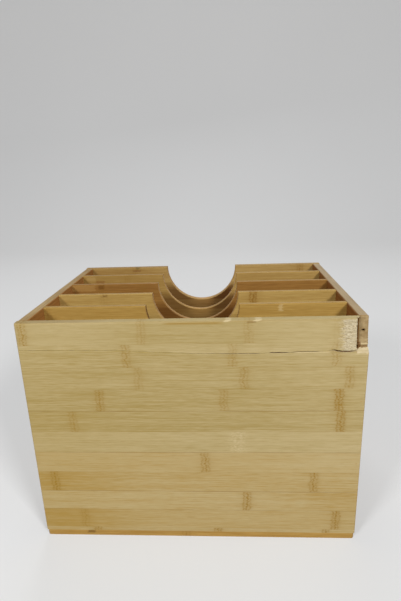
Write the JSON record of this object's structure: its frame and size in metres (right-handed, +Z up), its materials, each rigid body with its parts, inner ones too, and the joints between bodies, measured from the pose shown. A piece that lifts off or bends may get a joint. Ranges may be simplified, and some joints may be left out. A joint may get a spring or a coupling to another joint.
{
  "type": "document shelf",
  "caption": "Bamboo box of parallel slots open at the top, with half-round finger cut-outs in its dividers and rear board, a cracked front board and a rounded base board.",
  "frame": {"origin": "on the floor under the middle of the shelf, at the underside of the base board", "axes": "+X to the right along the front board, +Y from the front board to the rear board, +Z up, out of the open side"},
  "size_m": [0.33, 0.24, 0.2455],
  "materials": {
    "front_strip_bamboo": "satin lacquer",
    "front_bamboo": "satin lacquer",
    "side_bamboo": "satin lacquer",
    "divider_bamboo": "satin lacquer",
    "rear_bamboo": "satin lacquer",
    "base_bamboo": "satin lacquer",
    "brad_steel": "satin",
    "filler": "matt"
  },
  "bodies": {
    "root": {"front_lath_01": "front_strip_bamboo", "front_lath_02_upper": "front_strip_bamboo", "front_lath_02_lower": "front_bamboo", "front_lath_03": "front_bamboo", "front_lath_04": "front_bamboo", "front_lath_05": "front_bamboo", "front_lath_06": "front_bamboo", "front_lath_07": "front_bamboo", "front_lath_08": "front_bamboo", "front_lath_09": "front_bamboo", "front_lath_10": "front_bamboo", "front_lath_11": "front_bamboo", "side_board_left": "side_bamboo", "side_board_right": "side_bamboo", "divider_1": "divider_bamboo", "divider_2": "divider_bamboo", "divider_3": "divider_bamboo", "divider_4": "divider_bamboo", "rear_board": "rear_bamboo", "base_board": "base_bamboo", "front_brads_left": "brad_steel", "rear_brads_left": "brad_steel", "front_fillers_left": "filler", "front_brads_right": "brad_steel", "rear_brads_right": "brad_steel", "front_fillers_right": "filler", "base_brads_left": "brad_steel", "base_brads_right": "brad_steel", "base_brads_front": "brad_steel", "base_brads_rear": "brad_steel"}
  },
  "joints": []
}
